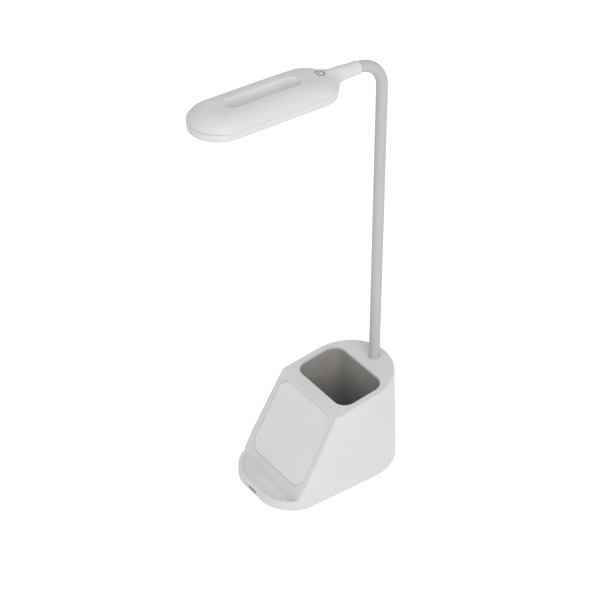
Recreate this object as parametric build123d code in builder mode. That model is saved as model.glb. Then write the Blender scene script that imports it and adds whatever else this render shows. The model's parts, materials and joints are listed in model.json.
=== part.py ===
# Desk lamp on a phone-charging base with a pen cup: millimetres, +Z up.
# The origin is the middle of the base on the table, +Y to the back, +X to the right.
import os
from math import cos, radians, sin, tan

from build123d import *

os.makedirs("parts", exist_ok=True)

# Turns and shares used in several places
quarter_turn = 90
half_turn = 180

# Fits and overruns
overrun = 5.0
snug = 0.05
running = 0.15
loose = 0.3

# Base shell
base_width = 66.0
base_front = 53.2
rear_center = 20.1
front_corner = 24.3
side_draft = 2.2
base_wall = 2.2
foot_proud = 0.5
foot_round = 0.8
tower_start = 3.4
rim_height = 62.1
rim_slope = 8.0
rim_wall = 1.6
rim_round = 1.2

# Sloping charging face and the ledge in front of it
face_angle = 60.3
ledge_depth = 12.1
ledge_height = 4.6
lip_height = 7.4
lip_wall = 2.4
lip_round = 0.7
ledge_floor = 0.6
face_seat = 1.4
face_edge_round = 2.5

# Panel over the coil
panel_thick = 1.6
panel_margin = 7.0
panel_foot = 9.7
panel_head = 4.5
panel_corner = 8.0
panel_edge = 0.4

# Charging coil, its ferrite and its carrier
coil_margin = 1.5
coil_inner = 20.0
ferrite_margin = 2.5
ferrite_thick = 1.0
carrier_thick = 2.2
carrier_margin = 1.5
carrier_corner = 5.0
carrier_hole = 16.0
carrier_screw_inset = 3.0
tiny_screw_head = 3.4
tiny_screw_head_thick = 1.0
tiny_screw_shank = 1.6
tiny_screw_length = 2.9

# Pen cup liner
cup_side = 7.1
cup_setback = 6.4
cup_behind = 10.8
cup_corner = 8.5
cup_wall = 1.2
cup_floor_height = 14.0
cup_floor = 1.6
cup_floor_round = 3.0

# Gooseneck: where it stands and where it bends
arm_inset = 11.0
sleeve_outer = 7.0
sleeve_bore = 4.6
core_outer = 4.4
core_bore = 2.2
sleeve_sunk = 2.1
lean_above = 21.9
sway_above = 26.0
bend_above = 75.0
crook_above = 80.1
crook_radius = 18.0
lean_reach = 9.0
sway_reach = 9.0
bend_reach = 11.0
tilt_below = 14.1
tilt_end_angle = 38.0
swing_start_angle = 48.0

# Ferrule, clamp plate and screws that hold the gooseneck in the base
socket_outer = 16.0
socket_deep = 6.0
ferrule_outer = 8.0
ferrule_bore = 4.5
ferrule_flange = 12.4
ferrule_flange_thick = 1.6
clamp_thick = 1.5
clamp_length = 27.0
clamp_width = 9.0
clamp_screw_span = 20.0
clamp_boss = 6.0
clamp_boss_rise = 9.0
clamp_screw_length = 6.0

# Bottom cover, rubber pad and screws
cover_thick = 2.0
cover_edge = 0.4
pad_sink = 0.4
pad_margin = 0.5
pad_edge = 0.3
screw_inset = 5.3
screw_span_y = 44.0
screw_middle = -3.0
screw_boss = 6.8
screw_boss_top = 11.0
screw_head = 4.4
screw_head_thick = 1.0
screw_shank = 2.0
screw_length = 7.0

# Ballast
ballast_thick = 6.0
ballast_margin = 12.0
ballast_gap = 4.0
ballast_behind = 3.7
ballast_corner = 4.0

# Boards
board_thick = 1.6
standoff_height = 1.6
standoff_outer = 4.0
main_board_margin = 13.0
main_board_setback = 17.2
main_board_length = 31.0
main_board_inset = 3.0
chip_side = 6.0
chip_thick = 1.0
chip_pitch = 13.0
inductor_side = 7.0
inductor_thick = 3.2
inlet_board_width = 17.0
inlet_board_setback = 3.2
inlet_board_length = 10.5
inlet_board_screws = 11.0

# USB-C inlet in the back
socket_width = 8.9
socket_thick = 3.2
socket_depth = 7.3
socket_skin = 0.3
socket_setback = 0.9
socket_gap = 0.25
mouth_width = 8.3
mouth_thick = 2.6
tongue_width = 6.6
tongue_thick = 0.7
tongue_short = 1.0

# Status light in the lip
pipe_width = 8.4
pipe_thick = 1.2
pipe_height = 3.3
pipe_shy = 0.2
pipe_gap = 0.05
status_led_width = 3.0
status_led_depth = 1.4
status_led_gap = 0.3

# Lamp head
head_width = 36.6
head_length = 95.2
head_drop = 5.4
ring_height = 4.6
dome_height = 6.9
dome_reach = 12.0
head_wall = 1.6
crown_length = 21.3
crown_fall = 6.7
ring_inset = 0.3
ring_wall = 1.8
ring_lip = 1.0
ring_lip_thick = 0.7
ring_round = 0.4
ring_gap = 0.1
slot_side = 13.6
slot_ahead = 22.9
slot_behind = 23.6
slot_wall = 1.4
slot_round = 0.8
diffuser_thick = 1.8
diffuser_gap = 0.15

# Collar that takes the gooseneck
collar_length = 17.5
collar_end_outer = 8.2
collar_waist = 5.7
collar_waist_outer = 9.2
collar_root = 3.8
collar_root_outer = 9.6
collar_round = 0.4
sleeve_deep = 10.0
head_ferrule_outer = 6.4
head_ferrule_length = 8.8
wire_hole = 3.0
grub_outer = 2.5
grub_length = 1.5
grub_ahead = 4.8

# Inside the head
led_board_thick = 1.0
led_board_rise = 1.7
led_board_inset = 3.4
led_board_short = 8.3
led_long = 2.8
led_wide = 1.4
led_thick = 0.7
led_pitch = 8.0
led_count = 7
led_row_inset = 6.8
head_screw_side = 9.3
head_screw_inset = 14.6
head_boss = 4.4
head_screw_length = 3.2
touch_pad_outer = 6.4
touch_pad_thick = 0.3
touch_post_outer = 3.0
symbol_behind = 9.4
symbol_radius = 2.7
symbol_line = 0.6
symbol_deep = 0.2
symbol_gap = 2.6
symbol_bar = 2.8
driver_side = 5.0
driver_thick = 0.9
driver_setback = 12.4

# Places in the base worked out from the sizes above
half_base = base_width / 2
rim_normal = (0, -sin(radians(rim_slope)), cos(radians(rim_slope)))
rim_plane = Plane((0, 0, rim_height), x_dir=(1, 0, 0), z_dir=rim_normal)
face_normal = (0, -sin(radians(face_angle)), cos(radians(face_angle)))
face_foot = base_front - ledge_depth
face_plane = Plane((0, -face_foot, ledge_height), x_dir=(1, 0, 0), z_dir=face_normal)
blank_height = rim_height + half_base
cover_bottom = foot_proud
cover_top = cover_bottom + cover_thick
screw_seat = cover_bottom + pad_sink
screw_span_x = base_width - 2 * screw_inset
board_bottom = cover_top + standoff_height
board_top = board_bottom + board_thick
face_rise = rim_height - ledge_height
panel_width = base_width - 2 * panel_margin
panel_length = face_rise / sin(radians(face_angle)) - panel_foot - panel_head
coil_center = panel_foot + panel_length / 2
carrier_width = panel_width - 2 * carrier_margin
carrier_length = panel_length - 2 * carrier_margin
carrier_screw_span_x = carrier_width - 2 * carrier_screw_inset
carrier_screw_span_y = carrier_length - 2 * carrier_screw_inset
ferrite_outer = min(carrier_width, carrier_length) - 2 * ferrite_margin
coil_outer = ferrite_outer - 2 * coil_margin
coil_plane = face_plane.offset(-panel_thick)
seat_plane = coil_plane.offset(-face_seat)
carrier_back = seat_plane.offset(-carrier_thick)
base_back = rear_center + half_base
arm_place = base_back - arm_inset
arm_spot = (0, arm_place)
cup_width = base_width - 2 * cup_side
cup_back = arm_place - cup_behind
cup_front = face_rise / tan(radians(face_angle)) + cup_setback - face_foot
ballast_width = base_width - 2 * ballast_margin
main_board_width = base_width - 2 * main_board_margin
main_board_front = main_board_setback - base_front
main_board_middle = main_board_front + main_board_length / 2
ballast_front = main_board_front + main_board_length + ballast_gap
ballast_length = cup_back + ballast_behind - ballast_front
ballast_middle = ballast_front + ballast_length / 2
board_screw_span_x = main_board_width - 2 * main_board_inset
board_screw_span_y = main_board_length - 2 * main_board_inset
socket_mouth = base_back - socket_setback
inlet_plane = Plane((0, socket_mouth, board_top + socket_thick / 2), x_dir=(1, 0, 0), z_dir=(0, -1, 0))
inlet_board_middle = socket_mouth - inlet_board_setback - inlet_board_length / 2
pipe_front = base_front - pipe_shy
front_plane = Plane((0, -base_front, pipe_height), x_dir=(1, 0, 0), z_dir=(0, -1, 0))
pipe_plane = Plane((0, -pipe_front, pipe_height), x_dir=(1, 0, 0), z_dir=(0, -1, 0))

# Places along the gooseneck and in the head
sleeve_foot_height = rim_height - sleeve_sunk
socket_bottom = sleeve_foot_height - socket_deep
clamp_plane = Plane.XY.offset(socket_bottom - ferrule_flange_thick)
lean_pivot = rim_height + lean_above
sway_pivot = lean_pivot + sway_above
bend_pivot = sway_pivot + bend_above
straight_top = bend_pivot + crook_above
tilt_start = straight_top - tilt_below
crook_center = arm_place - crook_radius
crook_axis = Axis((0, crook_center, straight_top), (1, 0, 0))
head_axis = straight_top + crook_radius
head_back = crook_center - collar_length
head_front = head_back - head_length
head_middle = (head_front + head_back) / 2
head_rear_center = head_back - head_width / 2
head_front_center = head_front + head_width / 2
head_bottom = head_axis - head_drop
head_parting = head_bottom + ring_height
head_top = head_parting + dome_height
crown_start = head_back - crown_length
slot_width = head_width - 2 * slot_side
slot_length = head_length - slot_ahead - slot_behind
slot_middle = head_back - slot_behind - slot_length / 2
head_screw_span_x = head_width - 2 * head_screw_side
head_screw_span_y = head_length - 2 * head_screw_inset
led_row_span = head_width - 2 * led_row_inset
diffuser_top = head_bottom + ring_lip_thick + diffuser_thick
led_board_bottom = head_parting + led_board_rise
led_board_top = led_board_bottom + led_board_thick
led_board_back = head_back - led_board_short
collar_seat = crook_center - sleeve_deep
head_ferrule_end = collar_seat - head_ferrule_length
grub_place = collar_seat - grub_ahead
grub_bottom = head_axis - head_ferrule_outer / 2 - grub_length
symbol_place = head_back - symbol_behind
driver_place = head_front + driver_setback


def base_plan(inset):
    """Outline of the base, smaller all round by inset: two front corners and a round back."""
    half = half_base - inset
    front = inset - base_front
    corner = front_corner - inset
    with BuildLine() as outline:
        Line((corner - half, front), (half - corner, front))
        CenterArc((half - corner, front + corner), corner, -quarter_turn, quarter_turn)
        Line((half, front + corner), (half, rear_center))
        CenterArc((0, rear_center), half, 0, half_turn)
        Line((-half, rear_center), (-half, front + corner))
        CenterArc((corner - half, front + corner), corner, half_turn, quarter_turn)
    make_face(outline.edges())


def drafted(height):
    """How far the drafted side has moved inwards at a height."""
    return (height - foot_proud) * tan(radians(side_draft))


def cup_plan(grow):
    """Rounded rectangle of the pen cup, larger all round by grow."""
    with Locations((0, (cup_back + cup_front) / 2)):
        RectangleRounded(cup_width + 2 * grow, cup_back - cup_front + 2 * grow, cup_corner + grow)


def head_plan(inset):
    """Long rounded outline of the lamp head, smaller all round by inset."""
    with Locations((0, head_middle)):
        SlotOverall(head_length - 2 * inset, head_width - 2 * inset, rotation=quarter_turn)


def crown_section(inset):
    """Half of the section across the upper head shell, thinner all over by inset."""
    side = head_width / 2 - inset
    reach = dome_reach - inset
    rise = dome_height - inset
    with BuildLine() as outline:
        Line((0, head_parting), (side, head_parting))
        EllipticalCenterArc((side - reach, head_parting), reach, rise, 0, arc_size=quarter_turn)
        Line((side - reach, head_parting + rise), (0, head_parting + rise))
        Line((0, head_parting + rise), (0, head_parting))
    make_face(outline.edges())


def slot_plan(grow, mode=Mode.ADD):
    """Outline of the slot through the head, larger all round by grow."""
    with Locations((0, slot_middle)):
        SlotOverall(slot_length + 2 * grow, slot_width + 2 * grow, rotation=quarter_turn, mode=mode)


def crook_plane(angle):
    """Plane across the gooseneck, at an angle round its upper bend."""
    turn = radians(angle)
    place = (0, crook_center + crook_radius * cos(turn), straight_top + crook_radius * sin(turn))
    return Plane(place, x_dir=(1, 0, 0), z_dir=(0, -sin(turn), cos(turn)))


def tube_plan(outer, bore):
    """Ring across a tube."""
    Circle(outer / 2)
    Circle(bore / 2, mode=Mode.SUBTRACT)


neck_plane = crook_plane(quarter_turn)

# Trough behind the lip
with BuildPart() as trough:
    with BuildSketch(Plane.XY.offset(ledge_height)):
        base_plan(lip_wall + drafted(ledge_height))
    extrude(amount=blank_height)
    split(bisect_by=face_plane, keep=Keep.TOP)

# Hollow of the base behind the charging face
with BuildPart() as base_hollow:
    with BuildSketch(Plane.XY.offset(foot_proud)):
        base_plan(base_wall)
    extrude(amount=blank_height, taper=side_draft)
    split(bisect_by=rim_plane.offset(-rim_wall), keep=Keep.BOTTOM)
    split(bisect_by=face_plane.offset(-(panel_thick + face_seat)), keep=Keep.BOTTOM)

# Shallow hollow under the ledge
with BuildPart() as ledge_hollow:
    with BuildSketch(Plane.XY.offset(foot_proud)):
        base_plan(base_wall)
    extrude(amount=ledge_height - ledge_floor - foot_proud, taper=side_draft)

# Boss under the back ledge that takes the gooseneck
with BuildPart() as arm_boss:
    with BuildSketch(Plane.XY.offset(socket_bottom)):
        with Locations(arm_spot):
            Circle(socket_outer / 2)
    extrude(amount=blank_height)
    with BuildSketch(Plane.XY.offset(socket_bottom - ferrule_flange_thick)):
        with Locations(arm_spot):
            with GridLocations(clamp_screw_span, 0, 2, 1):
                Circle(clamp_boss / 2)
    extrude(amount=clamp_boss_rise)
    split(bisect_by=rim_plane.offset(-rim_wall / 2), keep=Keep.BOTTOM)

# Tower of the base, behind the charging face
with BuildPart() as tower:
    with BuildSketch(Plane.XY.offset(tower_start)):
        base_plan(drafted(tower_start))
    extrude(amount=blank_height, taper=side_draft)
    split(bisect_by=rim_plane, keep=Keep.BOTTOM)
    split(bisect_by=face_plane, keep=Keep.BOTTOM)
    fillet(tower.faces().filter_by(face_plane)[0].edges().filter_by(Axis.X, reverse=True), face_edge_round)
    fillet(tower.faces().filter_by(rim_plane)[0].edges(), rim_round)

# Base shell
with BuildPart() as base_housing:
    with BuildSketch(Plane.XY.offset(foot_proud)):
        base_plan(0)
    extrude(amount=lip_height - foot_proud, taper=side_draft)
    fillet(base_housing.edges().group_by(Axis.Z)[0], foot_round)
    add(trough.part, mode=Mode.SUBTRACT)
    fillet(base_housing.edges().filter_by_position(Axis.Z, lip_height - snug, lip_height + snug), lip_round)
    add(tower.part)
    add(base_hollow.part, mode=Mode.SUBTRACT)
    add(ledge_hollow.part, mode=Mode.SUBTRACT)
    add(arm_boss.part)
    # Mouth of the pen cup
    with BuildSketch(Plane.XY.offset(cup_floor_height)):
        cup_plan(0)
    extrude(amount=blank_height, mode=Mode.SUBTRACT)
    # Pocket for the panel and window for the coil
    with BuildSketch(coil_plane):
        with Locations((0, coil_center)):
            RectangleRounded(panel_width + 2 * running, panel_length + 2 * running, panel_corner)
    extrude(amount=panel_thick + overrun, mode=Mode.SUBTRACT)
    with BuildSketch(coil_plane):
        with Locations((0, coil_center)):
            Circle(coil_outer / 2 + loose)
    extrude(amount=-face_seat - overrun, mode=Mode.SUBTRACT)
    with BuildSketch(coil_plane):
        with Locations((0, coil_center)):
            with GridLocations(carrier_screw_span_x, carrier_screw_span_y, 2, 2):
                Circle(tiny_screw_shank / 2 + snug)
    extrude(amount=-face_seat - overrun, mode=Mode.SUBTRACT)
    # Bores for the gooseneck, its ferrule and the clamp's screws
    with BuildSketch(Plane.XY.offset(sleeve_foot_height)):
        with Locations(arm_spot):
            Circle(sleeve_outer / 2 + running)
    extrude(amount=blank_height, mode=Mode.SUBTRACT)
    with BuildSketch(Plane.XY.offset(socket_bottom)):
        with Locations(arm_spot):
            Circle(ferrule_outer / 2 + snug)
    extrude(amount=sleeve_foot_height - socket_bottom, mode=Mode.SUBTRACT)
    with BuildSketch(Plane.XY.offset(socket_bottom - ferrule_flange_thick)):
        with Locations(arm_spot):
            with GridLocations(clamp_screw_span, 0, 2, 1):
                Circle(tiny_screw_shank / 2 + snug)
    extrude(amount=clamp_screw_length, mode=Mode.SUBTRACT)
    # Bosses for the bottom cover's screws
    with BuildSketch(Plane.XY.offset(cover_top)):
        with Locations((0, screw_middle)):
            with GridLocations(screw_span_x, screw_span_y, 2, 2):
                Circle(screw_boss / 2)
    extrude(amount=screw_boss_top - cover_top)
    with BuildSketch(Plane.XY.offset(cover_top)):
        with Locations((0, screw_middle)):
            with GridLocations(screw_span_x, screw_span_y, 2, 2):
                Circle(screw_shank / 2 + snug)
    extrude(amount=screw_length, mode=Mode.SUBTRACT)
    # Slot for the status light and hole for the inlet
    with BuildSketch(front_plane):
        SlotOverall(pipe_width + 2 * pipe_gap, pipe_thick + 2 * pipe_gap)
    extrude(amount=base_wall + overrun, both=True, mode=Mode.SUBTRACT)
    with BuildSketch(inlet_plane):
        RectangleRounded(socket_width + 2 * socket_gap, socket_thick + 2 * socket_gap, socket_thick / 2)
    extrude(amount=base_wall + loose, both=True, mode=Mode.SUBTRACT)
base_housing.part.label = "base_housing"
export_step(base_housing.part, "parts/base_housing.step")

# Panel over the coil
with BuildPart() as charging_panel:
    with BuildSketch(coil_plane):
        with Locations((0, coil_center)):
            RectangleRounded(panel_width, panel_length, panel_corner)
    extrude(amount=panel_thick)
    fillet(charging_panel.faces().sort_by(Axis.Z)[-1].edges(), panel_edge)
charging_panel.part.label = "charging_panel"
export_step(charging_panel.part, "parts/charging_panel.step")

# Charging coil
with BuildPart() as charging_coil:
    with BuildSketch(coil_plane):
        with Locations((0, coil_center)):
            Circle(coil_outer / 2)
            Circle(coil_inner / 2, mode=Mode.SUBTRACT)
    extrude(amount=-face_seat)
charging_coil.part.label = "charging_coil"
export_step(charging_coil.part, "parts/charging_coil.step")

# Ferrite sheet behind the coil
with BuildPart() as ferrite_sheet:
    with BuildSketch(seat_plane):
        with Locations((0, coil_center)):
            Circle(ferrite_outer / 2)
    extrude(amount=-ferrite_thick)
ferrite_sheet.part.label = "ferrite_sheet"
export_step(ferrite_sheet.part, "parts/ferrite_sheet.step")

# Plastic carrier that holds coil and ferrite against the panel
with BuildPart() as coil_carrier:
    with BuildSketch(seat_plane):
        with Locations((0, coil_center)):
            RectangleRounded(carrier_width, carrier_length, carrier_corner)
    extrude(amount=-carrier_thick)
    with BuildSketch(seat_plane):
        with Locations((0, coil_center)):
            Circle(ferrite_outer / 2 + snug)
    extrude(amount=-ferrite_thick, mode=Mode.SUBTRACT)
    with BuildSketch(seat_plane):
        with Locations((0, coil_center)):
            Circle(carrier_hole / 2)
            with GridLocations(carrier_screw_span_x, carrier_screw_span_y, 2, 2):
                Circle(tiny_screw_shank / 2 + snug)
    extrude(amount=-carrier_thick, mode=Mode.SUBTRACT)
coil_carrier.part.label = "coil_carrier"
export_step(coil_carrier.part, "parts/coil_carrier.step")

# Four screws of the carrier
with BuildPart() as carrier_screws:
    with BuildSketch(carrier_back):
        with Locations((0, coil_center)):
            with GridLocations(carrier_screw_span_x, carrier_screw_span_y, 2, 2):
                Circle(tiny_screw_head / 2)
    extrude(amount=-tiny_screw_head_thick)
    with BuildSketch(carrier_back):
        with Locations((0, coil_center)):
            with GridLocations(carrier_screw_span_x, carrier_screw_span_y, 2, 2):
                Circle(tiny_screw_shank / 2)
    extrude(amount=tiny_screw_length)
carrier_screws.part.label = "carrier_screws"
export_step(carrier_screws.part, "parts/carrier_screws.step")

# Liner of the pen cup, which hangs under the rim
with BuildPart() as cup_liner:
    with BuildSketch(Plane.XY.offset(cup_floor_height - cup_floor)):
        cup_plan(cup_wall)
    extrude(amount=blank_height)
    fillet(cup_liner.edges().group_by(Axis.Z)[0], cup_floor)
    with BuildSketch(Plane.XY.offset(cup_floor_height)):
        cup_plan(0)
    extrude(amount=blank_height, mode=Mode.SUBTRACT)
    inner_floor = cup_liner.faces().filter_by_position(Axis.Z, cup_floor_height - snug, cup_floor_height + snug)
    fillet(inner_floor[0].edges(), cup_floor_round)
    split(bisect_by=rim_plane.offset(-rim_wall), keep=Keep.BOTTOM)
cup_liner.part.label = "cup_liner"
export_step(cup_liner.part, "parts/cup_liner.step")

# Bottom cover with its standoffs
with BuildPart() as bottom_cover:
    with BuildSketch(Plane.XY.offset(cover_bottom)):
        base_plan(base_wall + running)
    extrude(amount=cover_thick)
    chamfer(bottom_cover.edges().group_by(Axis.Z)[0], cover_edge)
    with BuildSketch(Plane.XY.offset(cover_top)):
        with Locations((0, main_board_middle)):
            with GridLocations(board_screw_span_x, board_screw_span_y, 2, 2):
                Circle(standoff_outer / 2)
        with Locations((0, inlet_board_middle)):
            with GridLocations(inlet_board_screws, 0, 2, 1):
                Circle(standoff_outer / 2)
    extrude(amount=standoff_height)
    with BuildSketch(Plane.XY.offset(board_bottom)):
        with Locations((0, main_board_middle)):
            with GridLocations(board_screw_span_x, board_screw_span_y, 2, 2):
                Circle(tiny_screw_shank / 2 + snug)
        with Locations((0, inlet_board_middle)):
            with GridLocations(inlet_board_screws, 0, 2, 1):
                Circle(tiny_screw_shank / 2 + snug)
    extrude(amount=-standoff_height, mode=Mode.SUBTRACT)
    with BuildSketch(Plane.XY.offset(cover_bottom)):
        base_plan(base_wall + running + pad_margin)
    extrude(amount=pad_sink, mode=Mode.SUBTRACT)
    with BuildSketch(Plane.XY.offset(cover_bottom)):
        with Locations((0, screw_middle)):
            with GridLocations(screw_span_x, screw_span_y, 2, 2):
                Circle(screw_head / 2 + running)
    extrude(amount=screw_seat + screw_head_thick - cover_bottom, mode=Mode.SUBTRACT)
    with BuildSketch(Plane.XY.offset(cover_bottom)):
        with Locations((0, screw_middle)):
            with GridLocations(screw_span_x, screw_span_y, 2, 2):
                Circle(screw_shank / 2 + snug)
    extrude(amount=cover_thick, mode=Mode.SUBTRACT)
bottom_cover.part.label = "bottom_cover"
export_step(bottom_cover.part, "parts/bottom_cover.step")

# Rubber pad that the base stands on, glued over the cover's screws
with BuildPart() as rubber_pad:
    with BuildSketch(Plane.XY):
        base_plan(base_wall + running + pad_margin + snug)
    extrude(amount=foot_proud + pad_sink)
    fillet(rubber_pad.edges().group_by(Axis.Z)[0], pad_edge)
rubber_pad.part.label = "rubber_pad"
export_step(rubber_pad.part, "parts/rubber_pad.step")

# Four screws of the bottom cover
with BuildPart() as cover_screws:
    with BuildSketch(Plane.XY.offset(screw_seat)):
        with Locations((0, screw_middle)):
            with GridLocations(screw_span_x, screw_span_y, 2, 2):
                Circle(screw_head / 2)
    extrude(amount=screw_head_thick)
    with BuildSketch(Plane.XY.offset(screw_seat + screw_head_thick)):
        with Locations((0, screw_middle)):
            with GridLocations(screw_span_x, screw_span_y, 2, 2):
                Circle(screw_shank / 2)
    extrude(amount=screw_length)
cover_screws.part.label = "cover_screws"
export_step(cover_screws.part, "parts/cover_screws.step")

# Steel plate that keeps the lamp from tipping
with BuildPart() as ballast_plate:
    with BuildSketch(Plane.XY.offset(cover_top)):
        with Locations((0, ballast_middle)):
            RectangleRounded(ballast_width, ballast_length, ballast_corner)
    extrude(amount=ballast_thick)
ballast_plate.part.label = "ballast_plate"
export_step(ballast_plate.part, "parts/ballast_plate.step")

# Main board
with BuildPart() as main_board:
    with BuildSketch(Plane.XY.offset(board_bottom)):
        with Locations((0, main_board_middle)):
            Rectangle(main_board_width, main_board_length)
            with GridLocations(board_screw_span_x, board_screw_span_y, 2, 2):
                Circle(tiny_screw_shank / 2 + snug, mode=Mode.SUBTRACT)
    extrude(amount=board_thick)
main_board.part.label = "main_board"
export_step(main_board.part, "parts/main_board.step")

# Chips and coils on the main board
with BuildPart() as board_components:
    with BuildSketch(Plane.XY.offset(board_top)):
        with Locations((0, main_board_middle)):
            with GridLocations(chip_pitch, chip_pitch, 2, 1):
                Rectangle(chip_side, chip_side)
    extrude(amount=chip_thick)
    with BuildSketch(Plane.XY.offset(board_top)):
        with Locations((0, main_board_middle + chip_pitch)):
            with GridLocations(chip_pitch, chip_pitch, 2, 1):
                RectangleRounded(inductor_side, inductor_side, chip_thick)
    extrude(amount=inductor_thick)
board_components.part.label = "board_components"
export_step(board_components.part, "parts/board_components.step")

# Board that carries the inlet
with BuildPart() as inlet_board:
    with BuildSketch(Plane.XY.offset(board_bottom)):
        with Locations((0, inlet_board_middle)):
            Rectangle(inlet_board_width, inlet_board_length)
            with GridLocations(inlet_board_screws, 0, 2, 1):
                Circle(tiny_screw_shank / 2 + snug, mode=Mode.SUBTRACT)
    extrude(amount=board_thick)
inlet_board.part.label = "inlet_board"
export_step(inlet_board.part, "parts/inlet_board.step")

# Screws of both boards
with BuildPart() as board_screws:
    with BuildSketch(Plane.XY.offset(board_top)):
        with Locations((0, main_board_middle)):
            with GridLocations(board_screw_span_x, board_screw_span_y, 2, 2):
                Circle(tiny_screw_head / 2)
        with Locations((0, inlet_board_middle)):
            with GridLocations(inlet_board_screws, 0, 2, 1):
                Circle(tiny_screw_head / 2)
    extrude(amount=tiny_screw_head_thick)
    with BuildSketch(Plane.XY.offset(board_top)):
        with Locations((0, main_board_middle)):
            with GridLocations(board_screw_span_x, board_screw_span_y, 2, 2):
                Circle(tiny_screw_shank / 2)
        with Locations((0, inlet_board_middle)):
            with GridLocations(inlet_board_screws, 0, 2, 1):
                Circle(tiny_screw_shank / 2)
    extrude(amount=-tiny_screw_length)
board_screws.part.label = "board_screws"
export_step(board_screws.part, "parts/board_screws.step")

# Metal shell of the inlet
with BuildPart() as inlet_socket:
    with BuildSketch(inlet_plane):
        RectangleRounded(socket_width, socket_thick, socket_thick / 2 - socket_skin)
    extrude(amount=socket_depth)
    with BuildSketch(inlet_plane):
        RectangleRounded(mouth_width, mouth_thick, mouth_thick / 2 - socket_skin)
    extrude(amount=socket_depth - socket_skin, mode=Mode.SUBTRACT)
inlet_socket.part.label = "inlet_socket"
export_step(inlet_socket.part, "parts/inlet_socket.step")

# Contact tongue in the inlet
with BuildPart() as inlet_tongue:
    with BuildSketch(inlet_plane.offset(tongue_short)):
        Rectangle(tongue_width, tongue_thick)
    extrude(amount=socket_depth - socket_skin - tongue_short)
inlet_tongue.part.label = "inlet_tongue"
export_step(inlet_tongue.part, "parts/inlet_tongue.step")

# Light pipe of the status light
with BuildPart() as status_light_pipe:
    with BuildSketch(pipe_plane):
        SlotOverall(pipe_width, pipe_thick)
    extrude(amount=main_board_front + pipe_front - status_led_gap, dir=(0, 1, 0))
status_light_pipe.part.label = "status_light_pipe"
export_step(status_light_pipe.part, "parts/status_light_pipe.step")

# Light-emitting diode behind the pipe
with BuildPart() as status_led:
    with BuildSketch(Plane.XY.offset(board_bottom)):
        with Locations((0, main_board_front + status_led_depth / 2)):
            Rectangle(status_led_width, status_led_depth)
    extrude(amount=pipe_height - pipe_thick / 2 - board_bottom)
status_led.part.label = "status_led"
export_step(status_led.part, "parts/status_led.step")

# Ferrule on the lower end of the gooseneck
with BuildPart() as arm_ferrule:
    with BuildSketch(Plane.XY.offset(socket_bottom - ferrule_flange_thick)):
        with Locations(arm_spot):
            tube_plan(ferrule_flange, ferrule_bore)
    extrude(amount=ferrule_flange_thick)
    with BuildSketch(Plane.XY.offset(socket_bottom)):
        with Locations(arm_spot):
            tube_plan(ferrule_outer, ferrule_bore)
    extrude(amount=sleeve_foot_height - socket_bottom)
arm_ferrule.part.label = "arm_ferrule"
export_step(arm_ferrule.part, "parts/arm_ferrule.step")

# Plate that clamps the ferrule's flange
with BuildPart() as arm_clamp:
    with BuildSketch(clamp_plane):
        with Locations(arm_spot):
            SlotOverall(clamp_length, clamp_width)
            Circle(ferrule_bore / 2, mode=Mode.SUBTRACT)
            with GridLocations(clamp_screw_span, 0, 2, 1):
                Circle(tiny_screw_shank / 2 + snug, mode=Mode.SUBTRACT)
    extrude(amount=-clamp_thick)
arm_clamp.part.label = "arm_clamp"
export_step(arm_clamp.part, "parts/arm_clamp.step")

# Two screws of the clamp
with BuildPart() as clamp_screws:
    with BuildSketch(clamp_plane.offset(-clamp_thick)):
        with Locations(arm_spot):
            with GridLocations(clamp_screw_span, 0, 2, 1):
                Circle(tiny_screw_head / 2)
    extrude(amount=-tiny_screw_head_thick)
    with BuildSketch(clamp_plane.offset(-clamp_thick)):
        with Locations(arm_spot):
            with GridLocations(clamp_screw_span, 0, 2, 1):
                Circle(tiny_screw_shank / 2)
    extrude(amount=clamp_screw_length)
clamp_screws.part.label = "clamp_screws"
export_step(clamp_screws.part, "parts/clamp_screws.step")

# Foot of the sleeve in the base
with BuildPart() as sleeve_foot:
    with BuildSketch(Plane.XY.offset(sleeve_foot_height)):
        with Locations(arm_spot):
            tube_plan(sleeve_outer, sleeve_bore)
    extrude(amount=lean_pivot - lean_reach - sleeve_foot_height)
sleeve_foot.part.label = "sleeve_foot"
export_step(sleeve_foot.part, "parts/sleeve_foot.step")

# Foot of the metal core in the base
with BuildPart() as core_foot:
    with BuildSketch(Plane.XY.offset(socket_bottom - ferrule_flange_thick)):
        with Locations(arm_spot):
            tube_plan(core_outer, core_bore)
    extrude(amount=lean_pivot - lean_reach - socket_bottom + ferrule_flange_thick)
core_foot.part.label = "core_foot"
export_step(core_foot.part, "parts/core_foot.step")

# Part of the sleeve that bends when the arm leans
with BuildPart() as sleeve_lean_bend:
    with BuildSketch(Plane.XY.offset(lean_pivot - lean_reach)):
        with Locations(arm_spot):
            tube_plan(sleeve_outer, sleeve_bore)
    extrude(amount=2 * lean_reach)
sleeve_lean_bend.part.label = "sleeve_lean_bend"
export_step(sleeve_lean_bend.part, "parts/sleeve_lean_bend.step")

# Part of the metal core that bends when the arm leans
with BuildPart() as core_lean_bend:
    with BuildSketch(Plane.XY.offset(lean_pivot - lean_reach)):
        with Locations(arm_spot):
            tube_plan(core_outer, core_bore)
    extrude(amount=2 * lean_reach)
core_lean_bend.part.label = "core_lean_bend"
export_step(core_lean_bend.part, "parts/core_lean_bend.step")

# Short sleeve between the two lower bends
with BuildPart() as sleeve_link:
    with BuildSketch(Plane.XY.offset(lean_pivot + lean_reach)):
        with Locations(arm_spot):
            tube_plan(sleeve_outer, sleeve_bore)
    extrude(amount=sway_pivot - sway_reach - lean_pivot - lean_reach)
sleeve_link.part.label = "sleeve_link"
export_step(sleeve_link.part, "parts/sleeve_link.step")

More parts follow.
